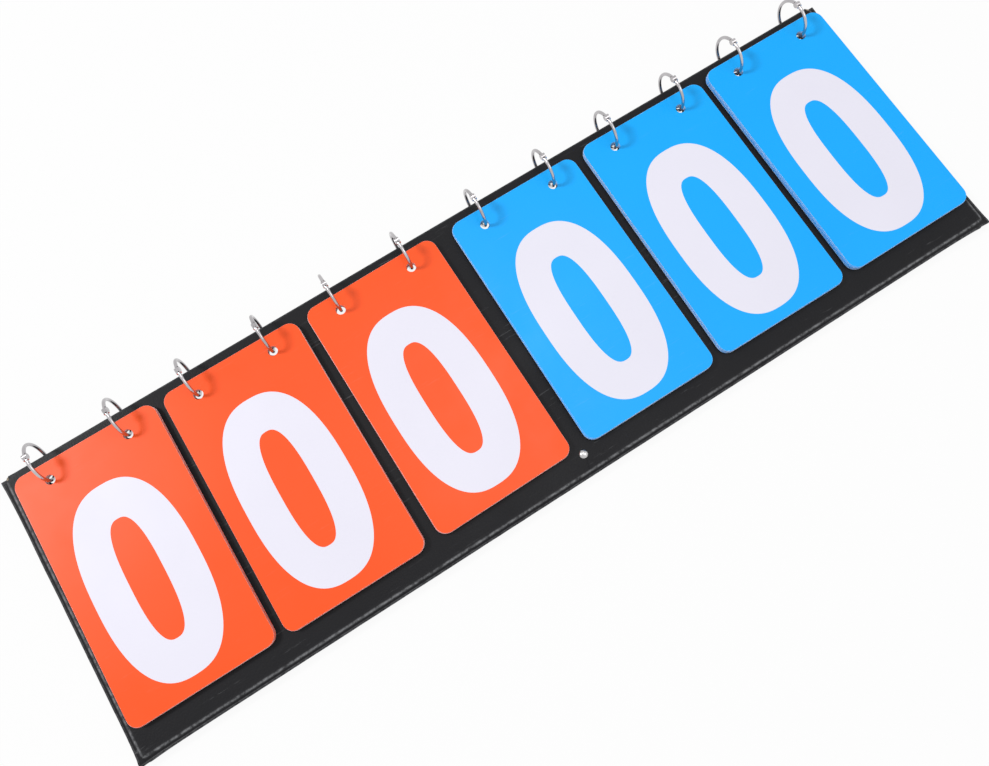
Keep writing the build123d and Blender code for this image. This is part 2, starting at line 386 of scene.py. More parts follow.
def clean_mesh(name, vertices, faces, indices=None, values=None):
    """A closed mesh in metres from millimetres: doubles merged and faces turned outward."""
    mesh = bpy.data.meshes.new(name)
    mesh.from_pydata([tuple(c * MM for c in v) for v in vertices], [], faces)
    if indices is not None:
        mesh.polygons.foreach_set("material_index", indices)
    if values is not None:
        layer = mesh.attributes.new("bend", "FLOAT", "POINT")
        layer.data.foreach_set("value", values)
    edit = bmesh.new()
    edit.from_mesh(mesh)
    bmesh.ops.remove_doubles(edit, verts=edit.verts, dist=MERGE_DISTANCE * MM)
    bmesh.ops.dissolve_degenerate(edit, edges=edit.edges, dist=MERGE_DISTANCE * MM)
    bmesh.ops.recalc_face_normals(edit, faces=edit.faces)
    edit.to_mesh(mesh)
    edit.free()
    return mesh


def swing(start, first, second, end, steps=7):
    """Points along a cubic curve, without its start."""
    points = []
    for step in range(1, steps + 1):
        t = step / steps
        a, b, c, d = (1 - t) ** 3, 3 * t * (1 - t) ** 2, 3 * t * t * (1 - t), t ** 3
        points.append(tuple(a * start[i] + b * first[i] + c * second[i] + d * end[i] for i in (0, 1)))
    return points


def bowed(middle, radii, power, steps):
    """A closed superellipse."""
    points = []
    for step in range(steps):
        turn = 2 * math.pi * step / steps
        c, s = math.cos(turn), math.sin(turn)
        x = math.copysign(abs(c) ** (2 / power), c) * radii[0]
        y = math.copysign(abs(s) ** (2 / power), s) * radii[1]
        points.append((middle[0] + x, middle[1] + y))
    return points


def circle(middle, radius):
    """The outline of a punched hole."""
    return bowed(middle, (radius, radius), 2.0, HOLE_STEPS)


def rounded_rectangle(half_width, low, high, corner):
    """A rectangle with round corners, centred on X = 0, anticlockwise."""
    points = []
    quarter = 0
    for x, y in ((half_width - corner, high - corner), (corner - half_width, high - corner),
                 (corner - half_width, low + corner), (half_width - corner, low + corner)):
        for step in range(CORNER_STEPS + 1):
            turn = math.pi / 2 * (quarter + step / CORNER_STEPS)
            points.append((x + corner * math.cos(turn), y + corner * math.sin(turn)))
        quarter += 1
    return points


# ---------------------------------------------------------------- the digits

def outline(start, *runs):
    """A closed loop of straight runs (a point) and curves (three points)."""
    points = [start]
    for run in runs:
        if isinstance(run[0], tuple):
            points += swing(points[-1], *run)
        else:
            points.append(run)
    if math.dist(points[0], points[-1]) < 0.01:
        points.pop()
    return points


def digit_loops():
    """Outline and counters of each bold digit, round its middle, in millimetres."""
    nought = [bowed((0, 0), (31.2, 58.9), 2.5, 104), bowed((0, 0), (10.2, 37.0), 2.7, 72)]
    one = [outline((18, 58.9), (18, -58.9), (-4, -58.9), (-4, 25),
                   ((-10, 21), (-18, 18.5), (-27, 18)), (-27, 36),
                   ((-13, 38), (-4, 46), (-1, 58.9)))]
    two = [outline((-30, 24), ((-30, 47), (-20, 58.9), (0, 58.9)), ((20, 58.9), (30, 46), (30, 26)),
                   ((30, 8), (22, -4), (10, -19)), ((4, -27), (-1, -32), (-4, -38)), (30, -38),
                   (30, -58.9), (-31, -58.9), (-31, -50), ((-31, -32), (-22, -19), (-8, -3)),
                   ((3, 9), (9, 17), (9, 26)), ((9, 34), (6, 39), (0, 39)),
                   ((-6, 39), (-9.5, 34), (-9.5, 24)))]
    three = [outline((-30, 28), ((-29, 48), (-18, 58.9), (0, 58.9)), ((18, 58.9), (29, 47), (29, 29)),
                     ((29, 16), (24, 7), (15, 2.5)), ((26, -2), (31, -12), (31, -27)),
                     ((31, -47), (19, -58.9), (0, -58.9)), ((-19, -58.9), (-31, -47), (-31, -25)),
                     (-10.5, -25), ((-10.5, -35), (-7, -39.5), (0, -39.5)),
                     ((6.5, -39.5), (10.2, -35), (10.2, -25)), ((10.2, -14), (6, -8.5), (-5, -8.5)),
                     (-5, 11), ((5, 11), (9, 17), (9, 27)), ((9, 35), (6, 39.5), (0, 39.5)),
                     ((-6, 39.5), (-9.5, 36), (-10, 28)))]
    four = [outline((4, 58.9), (22, 58.9), (22, -16), (32, -16), (32, -34), (22, -34), (22, -58.9),
                    (2, -58.9), (2, -34), (-33, -34), (-33, -17)),
            outline((2, -16), (-15, -16), (2, 26))]
    five = [outline((-27, 58.9), (27, 58.9), (27, 39), (-9, 39), (-10, 17),
                    ((-5, 20), (1, 21.5), (6, 21.5)), ((22, 21.5), (31, 7), (31, -18)),
                    ((31, -45), (20, -58.9), (0, -58.9)), ((-19, -58.9), (-31, -47), (-31, -26)),
                    (-10.5, -26), ((-10.5, -35), (-7, -39.5), (0, -39.5)),
                    ((7, -39.5), (10.2, -33), (10.2, -19)), ((10.2, -6), (7, 1), (0, 1)),
                    ((-5, 1), (-8, -1.5), (-10, -6)), (-29, -4))]
    six = [outline((29, 30), ((29, 48), (19, 58.9), (1, 58.9)), ((-21, 58.9), (-31.2, 40), (-31.2, 0)),
                   ((-31.2, -41), (-21, -58.9), (0, -58.9)), ((20, -58.9), (31.2, -45), (31.2, -20)),
                   ((31.2, 4), (21, 18), (5, 18)), ((-2, 18), (-7, 15), (-10.5, 9)),
                   ((-10.3, 31), (-7, 39.5), (0.5, 39.5)), ((6, 39.5), (9, 36), (9.5, 30))),
           bowed((0, -20), (10.2, 19), 2.2, 40)]
    seven = [outline((-30, 58.9), (30, 58.9), (30, 42), ((14, 15), (5, -15), (3, -58.9)),
                     (-19, -58.9), ((-16, -18), (-6, 14), (8, 38)), (-30, 38))]
    eight = [outline((0, 58.9), ((18, 58.9), (29, 47), (29, 29)), ((29, 16), (24, 7), (15, 2.5)),
                     ((26, -2), (31, -12), (31, -27)), ((31, -47), (19, -58.9), (0, -58.9)),
                     ((-19, -58.9), (-31, -47), (-31, -27)), ((-31, -12), (-26, -2), (-15, 2.5)),
                     ((-24, 7), (-29, 16), (-29, 29)), ((-29, 47), (-18, 58.9), (0, 58.9))),
             bowed((0, 27), (9, 13), 2.2, 36), bowed((0, -25), (10.2, 15.5), 2.2, 40)]
    nine = [[(-x, -y) for x, y in loop] for loop in six]
    return [nought, one, two, three, four, five, six, seven, eight, nine]


DIGITS = digit_loops()
DIGIT_FROM_TOP = {"orange": 86.8, "blue": 87.6}   # from a leaf's top edge to a digit's middle
DIGIT_SHIFT = {"orange": -1.6, "blue": 0.4}       # of a digit's middle to the right


# ---------------------------------------------------------------- the leaves

FACE, PRINT, CORE_AND_RIM_HIGHLIGHT = 0, 1, 2    # the material slots of a leaf


def filled(loops):
    """Triangles over a flat region with holes, as index triples, all turned upward."""
    flat = [Vector((x, y, 0)) for loop in loops for x, y in loop]
    triangles = []
    for a, b, c in tessellate_polygon([[Vector((x, y, 0)) for x, y in loop] for loop in loops]):
        area = (flat[b] - flat[a]).cross(flat[c] - flat[a]).z
        triangles.append((a, b, c) if area > 0 else (a, c, b))
    return [(p.x, p.y) for p in flat], triangles


class Shell:
    """Vertices, faces and material numbers of a mesh that is put together level by level."""

    def __init__(self):
        self.vertices, self.faces, self.kinds = [], [], []

    def lay(self, region, level, kind, upward=True):
        """A flat region of triangles at one level."""
        points, triangles = region
        start = len(self.vertices)
        self.vertices.extend((x, y, level) for x, y in points)
        for a, b, c in triangles:
            corners = (a, b, c) if upward else (a, c, b)
            self.faces.append(tuple(start + corner for corner in corners))
            self.kinds.append(kind)

    def band(self, lower, lower_level, upper, upper_level, kind):
        """A wall between two loops of as many points each."""
        start, count = len(self.vertices), len(lower)
        self.vertices.extend((x, y, lower_level) for x, y in lower)
        self.vertices.extend((x, y, upper_level) for x, y in upper)
        for i in range(count):
            j = (i + 1) % count
            self.faces.append((start + i, start + j, start + count + j, start + count + i))
            self.kinds.append(kind)


def leaf_shape(team, number, low):
    """The shell of one leaf, from its deck's top edge down."""
    high = low + LEAF_THICKNESS
    half = LEAF_WIDTH / 2
    rim = rounded_rectangle(half, -LEAF_HEIGHT, 0, LEAF_CORNER)
    top = rounded_rectangle(half - LEAF_BEVEL, LEAF_BEVEL - LEAF_HEIGHT, -LEAF_BEVEL,
                            LEAF_CORNER - LEAF_BEVEL)
    holes = [circle((side * RING_SPACING / 2, -LEAF_HOLE_INSET), LEAF_HOLE / 2) for side in (-1, 1)]
    middle = (DIGIT_SHIFT[team], -DIGIT_FROM_TOP[team])
    print_loops = [[(x + middle[0], y + middle[1]) for x, y in loop] for loop in DIGITS[number]]
    shell = Shell()
    shell.lay(filled([top, *holes, print_loops[0]]), high, FACE)
    shell.lay(filled(print_loops), high, PRINT)
    for counter in print_loops[1:]:
        shell.lay(filled([counter]), high, FACE)
    shell.lay(filled([top, *holes]), low, CORE_AND_RIM_HIGHLIGHT, upward=False)
    shell.band(top, low, rim, low + LEAF_BEVEL, CORE_AND_RIM_HIGHLIGHT)
    shell.band(rim, low + LEAF_BEVEL, rim, high - LEAF_BEVEL, FACE)
    # The bevel round the printed face takes the pale plastic: a painted highlight along the leaf's edge.
    shell.band(rim, high - LEAF_BEVEL, top, high, CORE_AND_RIM_HIGHLIGHT)
    for hole in holes:
        shell.band(hole, high, hole, low, CORE_AND_RIM_HIGHLIGHT)
    return shell


def deck_turn(deck):
    """The ring axis of a deck: its middle in millimetres and its turn about Z."""
    joint = next(j for j in frame["joints"] if j["name"] == f"{deck}_leaf_0_turn")
    x, y = (value / MM for value in joint["pos_m"][:2])
    axis = joint["axis"]
    return x, y, math.atan2(-axis[1], -axis[0])


def leaf_scatter(deck, number):
    """How far a leaf hangs off the top one: along X, along Y, and its turn."""
    if number == 0:
        return 0.0, 0.0, 0.0
    chance = random.Random(f"{deck} {number}")
    lean = -0.22 if deck.startswith("blue") else -0.1    # the blue decks show their left edges
    return (lean + chance.uniform(-0.25, 0.2), chance.uniform(-0.3, 0.15),
            math.radians(chance.uniform(-0.09, 0.09)))


def leaf_stack(deck, numbers, top_level):
    """One shell of the leaves with these digits; the first lies on top."""
    team = deck.split("_")[0]
    x0, y0, turn = deck_turn(deck)
    stack = Shell()
    for step, number in enumerate(numbers):
        low = top_level - LEAF_THICKNESS - step * LEAF_PITCH
        shift_x, shift_y, extra = leaf_scatter(deck, number)
        leaf = leaf_shape(team, number, low)
        c, s = math.cos(turn + extra), math.sin(turn + extra)
        start = len(stack.vertices)
        for x, y, z in leaf.vertices:
            u, v = x + shift_x, y - RING_TO_CARD_TOP + shift_y
            stack.vertices.append((x0 + c * u - s * v, y0 + s * u + c * v, z))
        stack.faces += [tuple(start + i for i in face) for face in leaf.faces]
        stack.kinds += leaf.kinds
    return stack


def add_leaves(deck):
    """Three leaves that turn one by one, and the seven that turn together."""
    team = deck.split("_")[0]
    bodies = {f"{deck}_leaf_{n}": [n] for n in range(LOOSE_LEAVES)}
    bodies[f"{deck}_lower_leaves"] = list(range(LOOSE_LEAVES, DECK_LEAVES))
    for node, numbers in bodies.items():
        stack = leaf_stack(deck, numbers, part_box(node)[1].z / MM)
        mesh = clean_mesh(f"{node}_printed", stack.vertices, stack.faces, stack.kinds)
        obj = piece(f"{node}_printed", mesh, [LEAF_FACE[team], DIGIT_PRINT, LEAF_CORE_AND_RIM_HIGHLIGHT], 40.0)
        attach(obj, node)
        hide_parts(node)


# ---------------------------------------------------------------- the vinyl covers

# Shape of a cover in millimetres: insets from its cut edge, depths from its face.
OUTLINE_TOLERANCE = 0.005                  # a point this near the outline lies on it
CLIMB_START, CLIMB_RUN = 0.9, 1.9          # from outside the board's edge up to its full height
WELD_INSET, WELD_RIDGE = 0.85, 0.05
GROOVE_INSET, GROOVE_DEPTH = 1.35, 0.12
WELD_SPREAD = 0.2
FOLD_END_WIDTH, FOLD_END_RUN = 0.4, 3.0
CREASE_DEPTH, CREASE_SPREAD = 0.27, 0.4
LIP_DEPTH, LIP_WIDTH = 0.14, 1.0           # round a punched hole
CORE_RECESS = 0.5                          # of the wall in a hole, behind the core's own edge
RIPPLE_SEED = {"front_cover": 3.0, "leg_cover": 11.0}

# Where the flat mesh of a cover keeps lines of points.
WELD_LINES = (0.06, 0.15, 0.3, 0.55, 0.7, 0.85, 1.0, 1.15, 1.3, 1.45)
BOARD_LINES = (-0.9, -0.5, -0.1, 0.3, 0.65, 1.0, 1.8, 3.2, 5.0)
FOLD_LINES = (0.06, 0.15, 0.3, 0.5, 0.75, 1.0, 1.6, 2.6)    # shares of half the board's thickness
CREASE_LINES = (-1.0, -0.6, -0.3, 0.0, 0.3, 0.6, 1.0)
RIM_LINES = (0.0, 0.2, 0.55, 1.0)
LINE_STEP = 3
GRID_STEP = 6.5


def drawn_in(share, sharpness):
    """How much of the draw-in a welded edge has, from one corner (-1) to the other (1)."""
    return 1 - abs(share) ** sharpness


def flange_edge(half, foot, top, fold):
    """The welded outline of a cover, in millimetres, from the fold's right end clockwise."""
    flange_top = top - fold
    height = flange_top - foot
    side_steps, foot_steps, corner_steps = 72, 230, 5
    side_ripple, foot_ripple = 0.1, 0.12
    nick, blunt, flat_end, clear = 0.6, 0.15, 0.5, 0.8
    right = []
    for step in range(side_steps + 1):
        share = 2 * step / side_steps - 1
        y = flange_top - height * step / side_steps
        ripple = side_ripple * noise.noise(Vector((7.0, y / 14, 0.0)))
        right.append((half - FLANGE_DRAW_IN * drawn_in(share, 12) - abs(ripple), y))
    bottom = []
    for step in range(foot_steps + 1):
        share = 2 * step / foot_steps - 1
        x = -half * share
        ripple = foot_ripple * noise.noise(Vector((x / 16, 3.0, 0.0)))
        bottom.append((x, foot + FLANGE_DRAW_IN * drawn_in(share, 26) + abs(ripple)))
    left = [(-x, y) for x, y in reversed(right)]
    corner_right, corner_left = (half, foot), (-half, foot)
    side_end, corner_end = flange_top - flat_end, foot + FLANGE_CORNER
    points = [(half - nick, flange_top), (half - blunt, flange_top - blunt)]
    points += [p for p in right if side_end > p[1] > corner_end]
    points += swing(points[-1], corner_right, corner_right, (half - FLANGE_CORNER, foot + 0.1),
                    corner_steps)
    points += [p for p in bottom if abs(p[0]) < half - FLANGE_CORNER - clear]
    points += swing(points[-1], corner_left, corner_left, (-half + 0.1, corner_end), corner_steps)
    points += [p for p in left if side_end > p[1] > corner_end + clear]
    points += [(-half + blunt, flange_top - blunt), (-half + nick, flange_top)]
    return points


def fold_edge(pillow_half, top, fold):
    """The folded top edge from left to right, with its two round ends."""
    corner = PILLOW_CORNER
    corner_steps, straight_steps = 6, 150
    start = math.asin((corner - fold) / corner)
    arc = []
    for step in range(corner_steps + 1):
        turn = start + (math.pi / 2 - start) * step / corner_steps
        arc.append((corner * (1 - math.cos(turn)), top - corner * (1 - math.sin(turn))))
    left = [(x - pillow_half, y) for x, y in arc]
    right = [(pillow_half - x, y) for x, y in reversed(arc)]
    straight = pillow_half - corner
    across = [(straight * (2 * step / straight_steps - 1), top) for step in range(1, straight_steps)]
    return left + across + right


def inward(loop, distance):
    """The points of a clockwise loop, each moved inward by a distance."""
    moved = []
    count = len(loop)
    for i in range(count):
        before, after = loop[i - 1], loop[(i + 1) % count]
        along = Vector((after[0] - before[0], after[1] - before[1])).normalized()
        moved.append((loop[i][0] + along.y * distance, loop[i][1] - along.x * distance))
    return moved


def inside_loop(points, loop):
    """Which points lie inside a closed loop."""
    x, y = points[:, 0], points[:, 1]
    result = np.zeros(len(points), bool)
    for (x1, y1), (x2, y2) in zip(loop, loop[1:] + loop[:1]):
        if y1 == y2:
            continue
        crosses = (y1 > y) != (y2 > y)
        result ^= crosses & (x < (x2 - x1) * (y - y1) / (y2 - y1) + x1)
    return result


def edge_distance(points, loop):
    """Distance from each point to a closed loop."""
    start = np.array(loop)
    run = np.roll(start, -1, axis=0) - start
    offset = points[:, None, :] - start[None, :, :]
    share = np.clip((offset * run).sum(2) / (run ** 2).sum(1), 0, 1)
    return np.sqrt(((offset - share[:, :, None] * run) ** 2).sum(2).min(1))


class Cover:
    """A chipboard's vinyl cover: folded over the top edge and welded on the other three."""

    def __init__(self, node, holes, creases):
        low, high = (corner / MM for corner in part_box(node))
        self.half = (high.x - low.x) / 2
        self.foot, self.top = low.y, high.y
        self.middle = (low.z + high.z) / 2
        self.thick = (high.z - low.z) / 2
        self.pillow_half = self.half - FLANGE_WIDTH
        self.pillow_foot = self.foot + FLANGE_WIDTH
        self.holes, self.creases = holes, creases
        self.seed = RIPPLE_SEED[node]
        self.loop = flange_edge(self.half, self.foot, self.top, self.thick)
        self.welded_count = len(self.loop)
        self.loop += fold_edge(self.pillow_half, self.top, self.thick)

    def into_pillow(self, x, y):
        """How far inside the covered board a point lies, from its three welded edges."""
        qx = abs(x) - (self.pillow_half - PILLOW_CORNER)
        qy = self.pillow_foot + PILLOW_CORNER - y
        outside = math.hypot(max(qx, 0), max(qy, 0)) - PILLOW_CORNER
        return -(outside + min(max(qx, qy), 0))

    def half_height(self, x, y, edge):
        """Half the cover's thickness at a point, without its ripples."""
        rise = smoothstep((self.into_pillow(x, y) + CLIMB_START) / CLIMB_RUN)
        welded = WELDED_THICKNESS / 2
        height = welded + (self.thick - welded) * rise
        seam = WELD_RIDGE * hump(edge, WELD_INSET, WELD_SPREAD)
        seam -= GROOVE_DEPTH * hump(edge, GROOVE_INSET, WELD_SPREAD)
        height += (1 - rise) * seam
        folded = self.top - y < 2 * self.thick and self.into_pillow(x, y) > 0
        full = self.thick if folded else welded
        width = self.fold_width(x) if folded else welded
        if edge < OUTLINE_TOLERANCE:
            height = 0.0
        elif edge < width:
            height = min(height, full * math.sqrt(max(1 - (1 - edge / width) ** 2, 0)))
        return max(height, 0.0), rise

    def fold_width(self, x):
        """How far from the edge the fold is round: tighter at its two ends, over the core's corners."""
        from_end = self.pillow_half - PILLOW_CORNER - abs(x)
        return FOLD_END_WIDTH + (self.thick - FOLD_END_WIDTH) * smoothstep(from_end / FOLD_END_RUN)

    def ripple(self, x, y, rise, upper):
        """How far a sheet sinks at a point, and how far the welded edge waves up or down."""
        layer = self.seed if upper else self.seed + 40
        broad = noise.noise(Vector((x / 42, y / 30, layer)))
        short = noise.noise(Vector((x / 9, y / 9, layer + 7)))
        near_edge = hump(self.into_pillow(x, y), 2.2, 2.4)
        sink = rise * (0.06 + 0.05 * broad + 0.05 * near_edge * (short + 0.4))
        wave = (1 - rise) * 0.22 * noise.noise(Vector((x / 21, y / 21, self.seed + 3)))
        return max(sink, 0.0), wave

    def crease_depth(self, x, y):
        """The pressed fold from the snap to the foot."""
        depth = 0.0
        for (x1, y1), (x2, y2) in zip(self.creases, self.creases[1:]):
            run = Vector((x2 - x1, y2 - y1))
            share = min(max(Vector((x - x1, y - y1)).dot(run) / run.length_squared, 0), 1)
            gap = math.hypot(x - x1 - share * run.x, y - y1 - share * run.y)
            depth = max(depth, CREASE_DEPTH * hump(gap, 0.0, CREASE_SPREAD))
        return depth

    def board_lines(self):
        """Lines along the covered board's three welded edges, on both sides of its rim."""
        lines = []
        for inset in BOARD_LINES:
            x, y = self.pillow_half - inset, self.pillow_foot + inset
            count = int(self.top - y) // LINE_STEP
            side = [(x, y + (self.top - 2.8 - y) * step / count) for step in range(count, 0, -1)]
            count = int(2 * x / LINE_STEP)
            foot = [(x - 2 * x * step / count, y) for step in range(count + 1)]
            lines.append(side + foot + [(-px, py) for px, py in reversed(side)])
        return lines

    def lines(self):
        """Lines of points that the flat mesh keeps: along the weld, the board's edges and the fold."""
        welded = [inward(self.loop, inset)[:self.welded_count] for inset in WELD_LINES]
        stations = [x for x, y in self.loop[self.welded_count:] if y == self.top]
        fold = [[(x, self.top - share * self.thick) for x in stations] for share in FOLD_LINES]
        return welded + self.board_lines() + fold

    def crease_points(self):
        """Loose points on the pressed crease and on both sides of it."""
        points, steps = [], 6
        for off in CREASE_LINES:
            for (x1, y1), (x2, y2) in zip(self.creases, self.creases[1:]):
                run = Vector((x2 - x1, y2 - y1))
                side = Vector((-run.y, run.x)).normalized() * off
                points += [(x1 + run.x * step / steps + side.x, y1 + run.y * step / steps + side.y)
                           for step in range(steps)]
        return points

    def grid(self):
        """Loose points over the middle of the board, a little apart from the lines."""
        across = np.arange(-self.pillow_half + 8, self.pillow_half - 7, GRID_STEP)
        up = np.arange(self.pillow_foot + 8, self.top - 5, GRID_STEP)
        return [(x + 1.3 * (i % 3), y) for x in across for i, y in enumerate(up)]

    def clear(self, points):
        """Which points lie inside the outline and clear of the holes."""
        points = np.array(points)
        kept = inside_loop(points, self.loop) & (edge_distance(points, self.loop) > 0.03)
        for middle, radius in self.holes:
            kept &= np.hypot(points[:, 0] - middle[0], points[:, 1] - middle[1]) > radius + 1.25
        return kept

    def triangles(self):
        """A flat mesh over the cover's outline, its holes left open."""
        spots = list(self.loop)
        edges = [(i, (i + 1) % len(spots)) for i in range(len(spots))]
        for middle, radius in self.holes:
            for gap in RIM_LINES:
                start = len(spots)
                spots += circle(middle, radius + gap)
                edges += [(start + i, start + (i + 1) % HOLE_STEPS) for i in range(HOLE_STEPS)]
        for line in self.lines():
            last = None
            for spot, kept in zip(line, self.clear(line)):
                if kept:
                    spots.append(spot)
                    if last is not None:
                        edges.append((last, len(spots) - 1))
                last = len(spots) - 1 if kept else None
        loose = self.crease_points() + self.grid()
        spots += [spot for spot, kept in zip(loose, self.clear(loose)) if kept]
        result = delaunay_2d_cdt([Vector(p) for p in spots], edges, [], 1, 1e-5, False)
        flat = [(v.x, v.y) for v in result[0]]
        middles = [[sum(flat[i][axis] for i in face) / 3 for axis in (0, 1)] for face in result[2]]
        faces = []
        for face, spot, inside in zip(result[2], middles, inside_loop(np.array(middles), self.loop)):
            if inside and all(math.dist(spot, middle) > radius * 0.99 for middle, radius in self.holes):
                faces.append(tuple(face))
        return flat, faces

    def sheets(self):
        """Both sheets of vinyl and how pale each point is painted: a highlight with some wear."""
        flat, faces = self.triangles()
        edges = edge_distance(np.array(flat), self.loop)
        vertices, bends = [], []
        for upper in (True, False):
            for (x, y), edge in zip(flat, edges):
                height, rise = self.half_height(x, y, edge)
                sink, wave = self.ripple(x, y, rise, upper)
                fade = min(height / (WELDED_THICKNESS / 2), 1.0)
                sink = min(sink + self.lip(x, y), max(height - 0.1, 0)) * fade
                if upper and self.creases:
                    sink = max(sink, self.crease_depth(x, y) * fade)
                side = 1 if upper else -1
                vertices.append((x, y, self.middle + side * (height - sink) + wave))
                bends.append(self.bend(x, y, edge))
        count = len(flat)
        result = [face if self.turn(flat, face) > 0 else face[::-1] for face in faces]
        result += [tuple(count + i for i in face[::-1]) for face in result]
        self.line_holes(flat, result[:len(faces)], vertices, result, bends)
        return vertices, result, bends

    def lip(self, x, y):
        """The punch drags the vinyl down at the rim of a hole."""
        depth = 0.0
        for middle, radius in self.holes:
            away = math.hypot(x - middle[0], y - middle[1]) - radius
            depth = max(depth, LIP_DEPTH * (1 - smoothstep(away / LIP_WIDTH)))
        return depth

    def bend(self, x, y, edge):
        """How pale the vinyl is painted, a highlight with some wear: along the bend over the board's edge,
        at the rim and on the weld line.
        """
        along = hump(self.into_pillow(x, y), 0.75, 0.55)
        if self.top - y < 3:
            along *= 0.3
        return max(along, 0.75 * hump(edge, 0.0, 0.35), 0.4 * hump(edge, WELD_INSET, WELD_SPREAD))

    @staticmethod
    def turn(flat, face):
        """Twice a triangle's area, positive where it runs anticlockwise."""
        (x1, y1), (x2, y2), (x3, y3) = (flat[i] for i in face)
        return (x2 - x1) * (y3 - y1) - (x3 - x1) * (y2 - y1)

    def line_holes(self, flat, upper_faces, vertices, faces, bends):
        """Closes each hole: a vinyl lip at each face, and a wall set back behind the core's edge."""
        seen = {}
        for face in upper_faces:
            for a, b in zip(face, face[1:] + face[:1]):
                seen[frozenset((a, b))] = None if frozenset((a, b)) in seen else (a, b)
        lip = self.thick - VINYL_THICKNESS
        steps = ((0.0, lip), (CORE_RECESS, lip), (CORE_RECESS, -lip), (0.0, -lip))
        for middle, radius in self.holes:
            rim = {}
            for edge in seen.values():
                if edge and all(abs(math.dist(flat[i], middle) - radius) < 0.02 for i in edge):
                    rim[edge[0]] = edge[1]
            columns = {}
            for i in rim:
                x, y = flat[i]
                out = Vector((x - middle[0], y - middle[1])).normalized()
                start = len(vertices)
                vertices.extend((x + out.x * back, y + out.y * back, self.middle + z) for back, z in steps)
                bends.extend(0.0 for _ in steps)
                columns[i] = [i, *range(start, start + len(steps)), len(flat) + i]
            for a, b in rim.items():
                first, second = columns[a], columns[b]
                for step in range(len(first) - 1):
                    faces.append((first[step], second[step], second[step + 1], first[step + 1]))

    def build(self, name):
        """The finished cover."""
        vertices, faces, bends = self.sheets()
        mesh = clean_mesh(name, vertices, faces, values=bends)
        return piece(name, mesh, [COVER_VINYL], 50.0)


def ring_holes():
    """The ring holes of the front board, their middles and radius."""
    places = []
    for deck in DECKS:
        x, y, turn = deck_turn(deck)
        for side in (-1, 1):
            u, v = side * RING_SPACING / 2, -RING_TO_HOLE
            places.append(((x + math.cos(turn) * u - math.sin(turn) * v,
                            y + math.sin(turn) * u + math.cos(turn) * v), RING_HOLE / 2))
    return places


def add_covers():
    """The front board's cover with its holes, and the stand leg's plain one."""
    cap_low, cap_high = (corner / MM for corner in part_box("snap_cap"))
    cap = (cap_low + cap_high) / 2
    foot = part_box("front_cover")[0].y / MM
    crease = [(cap.x + 0.2, cap.y - 3.0), (cap.x - 0.2, foot + 8.5), (cap.x - 1.4, foot + 5.5),
              (cap.x - 3.6, foot + 2.9)]
    front = Cover("front_cover", ring_holes(), crease).build("front_board_vinyl")
    leg = Cover("leg_cover", [], []).build("stand_leg_vinyl")
    for obj, body, node in ((front, "front_board", "front_cover"), (leg, "stand_leg", "leg_cover")):
        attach(obj, body)
        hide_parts(node)


# ---------------------------------------------------------------- the weld's ribs

RIB_SIZES = {"Pitch": 0.8, "Rib Length": 0.5, "Rib Width": 0.7, "Rib Height": 0.73}


def rib_tree():
    """Geometry nodes: low rounded ribs set across a path at an even pitch."""
    tree = bpy.data.node_groups.new("weld_ribs", "GeometryNodeTree")
    tree.interface.new_socket("Geometry", in_out="INPUT", socket_type="NodeSocketGeometry")
    for name, value in RIB_SIZES.items():
        socket = tree.interface.new_socket(name, in_out="INPUT", socket_type="NodeSocketFloat")
        socket.default_value = value * MM
    tree.interface.new_socket("Material", in_out="INPUT", socket_type="NodeSocketMaterial")
    tree.interface.new_socket("Geometry", in_out="OUTPUT", socket_type="NodeSocketGeometry")
    nodes = Nodes(tree)
    given, result = nodes.add("NodeGroupInput"), nodes.add("NodeGroupOutput")
    path = nodes.add("GeometryNodeMeshToCurve", {"Mesh": given.outputs["Geometry"]})
    even = nodes.add("GeometryNodeResampleCurve", {"Curve": path.outputs[0]}, mode="LENGTH")
    nodes.put(even, "Length", given.outputs["Pitch"])
    tangent = nodes.add("GeometryNodeInputTangent")
    turned = nodes.add("FunctionNodeAlignRotationToVector", {"Vector": tangent.outputs[0]}, axis="X")
    size = nodes.add("ShaderNodeCombineXYZ", {"X": given.outputs["Rib Width"],
                                              "Y": given.outputs["Rib Length"],
                                              "Z": given.outputs["Rib Height"]})
    rib = nodes.add("GeometryNodeMeshUVSphere", {"Segments": 6, "Rings": 4, "Radius": 0.5})
    scatter = nodes.add("GeometryNodeInstanceOnPoints", {"Points": even.outputs[0],
                                                         "Instance": rib.outputs[0],
                                                         "Rotation": turned.outputs[0],
                                                         "Scale": size.outputs[0]})
    solid = nodes.add("GeometryNodeRealizeInstances", {"Geometry": scatter.outputs[0]})
    coloured = nodes.add("GeometryNodeSetMaterial", {"Geometry": solid.outputs[0],
                                                     "Material": given.outputs["Material"]})
    smooth = nodes.add("GeometryNodeSetShadeSmooth", {"Geometry": coloured.outputs[0]})
    nodes.put(result, "Geometry", smooth.outputs[0])
    return tree


def along_path(name, points, tree, values):
    """Runs a geometry node tree along a line of points and keeps the plain mesh."""
    line = bpy.data.meshes.new(f"{name}_path")
    line.from_pydata(points, [(i, i + 1) for i in range(len(points) - 1)], [])
    source = bpy.data.objects.new(f"{name}_path", line)
    bpy.context.scene.collection.objects.link(source)
    modifier = source.modifiers.new("ribs", "NODES")
    modifier.node_group = tree
    sockets = {item.name: item.identifier for item in tree.interface.items_tree
               if item.item_type == "SOCKET" and item.in_out == "INPUT"}
    for label, value in values.items():
        modifier[sockets[label]] = value
    ready = source.evaluated_get(bpy.context.evaluated_depsgraph_get())
    mesh = bpy.data.meshes.new_from_object(ready)
    source.modifiers.remove(modifier)
    bpy.data.objects.remove(source)
    obj = bpy.data.objects.new(name, mesh)
    bpy.context.scene.collection.objects.link(obj)
    return obj


